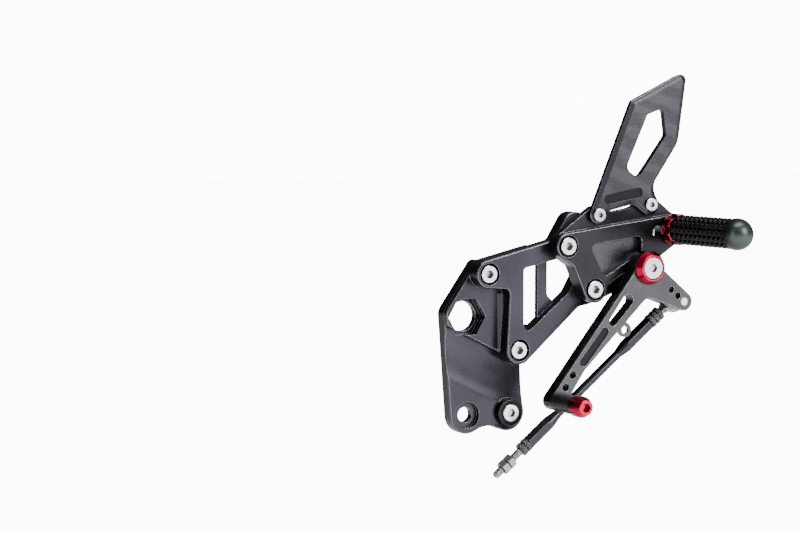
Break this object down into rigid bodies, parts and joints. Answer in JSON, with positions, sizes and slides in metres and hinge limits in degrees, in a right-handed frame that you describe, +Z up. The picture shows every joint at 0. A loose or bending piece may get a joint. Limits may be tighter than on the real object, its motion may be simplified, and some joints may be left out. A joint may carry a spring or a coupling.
{
  "type": "foot peg",
  "caption": "Motorcycle rearset with a fixed foot peg, heel guard, pivoting shift lever with toe peg, and a turnbuckle shift rod.",
  "frame": {"origin": "centre of the large frame bore, on the mounting face of the frame plate", "axes": "+Z up, +X to the rear of the motorcycle, the plates stack outward along -Y from the mounting face at Y=0"},
  "size_m": [0.1939, 0.1528, 0.2991],
  "materials": {
    "black_anodised": "satin anodised",
    "rod_anodised": "satin anodised",
    "red_anodised": "satin anodised",
    "bolt_steel": "zinc plated",
    "black_steel": "black oxide",
    "bronze": "sintered"
  },
  "bodies": {
    "mount": {"frame_plate": "black_anodised", "adapter_plate": "black_anodised", "hanger_plate": "black_anodised", "heel_guard": "black_anodised", "adapter_bolts": "bolt_steel", "hanger_bolts": "bolt_steel", "heel_guard_bolts": "bolt_steel", "frame_bolt": "bolt_steel", "frame_bolt_spacer": "black_steel", "foot_peg_collar": "red_anodised", "foot_peg_barrel": "black_anodised", "foot_peg_end": "black_anodised", "foot_peg_bolt": "bolt_steel", "pivot_bolt": "bolt_steel", "pivot_collar": "red_anodised", "pivot_sleeve": "bolt_steel", "pivot_washer": "bolt_steel"},
    "lever": {"shift_lever": "black_anodised", "lever_bushes": "bronze", "toe_peg_grip": "black_anodised", "toe_peg_cap": "red_anodised", "toe_peg_stud": "bolt_steel", "rod_end_ball": "bolt_steel", "rod_end_bolt": "bolt_steel", "rod_end_spacer": "bolt_steel"},
    "rod_end": {"rod_end": "bolt_steel"},
    "lock_nut": {"rod_lock_nut": "rod_anodised"},
    "rod": {"shift_rod": "rod_anodised", "rod_lower_nut": "rod_anodised"},
    "stud": {"lower_stud": "bolt_steel", "stud_nuts": "bolt_steel"}
  },
  "joints": [
    {"name": "lever_pivot", "type": "hinge", "parent": "mount", "child": "lever", "pos_m": [0.135, -0.04615, 0.0348], "axis": [0, -1, 0], "range_deg": [-12, 12]},
    {"name": "rod_end_swing", "type": "hinge", "parent": "lever", "child": "rod_end", "pos_m": [0.167, -0.034, 0.008], "axis": [0, -1, 0], "range_deg": [-15, 15]},
    {"name": "rod_turn", "type": "hinge", "parent": "lock_nut", "child": "rod", "pos_m": [0.167, -0.034, 0.008], "axis": [-0.7771, 0, -0.6293], "range_deg": [-1080, 1080]},
    {"name": "nut_travel", "type": "slide", "parent": "rod_end", "child": "lock_nut", "axis": [-0.7771, 0, -0.6293], "range_m": [-0.003, 0.003]},
    {"name": "stud_travel", "type": "slide", "parent": "lock_nut", "child": "stud", "axis": [-0.7771, 0, -0.6293], "range_m": [-0.003, 0.003]}
  ],
  "couplings": [
    {"joint": "rod_turn", "follows": "nut_travel", "rad_per_m": 6283.2},
    {"joint": "stud_travel", "follows": "nut_travel", "ratio": 1}
  ]
}
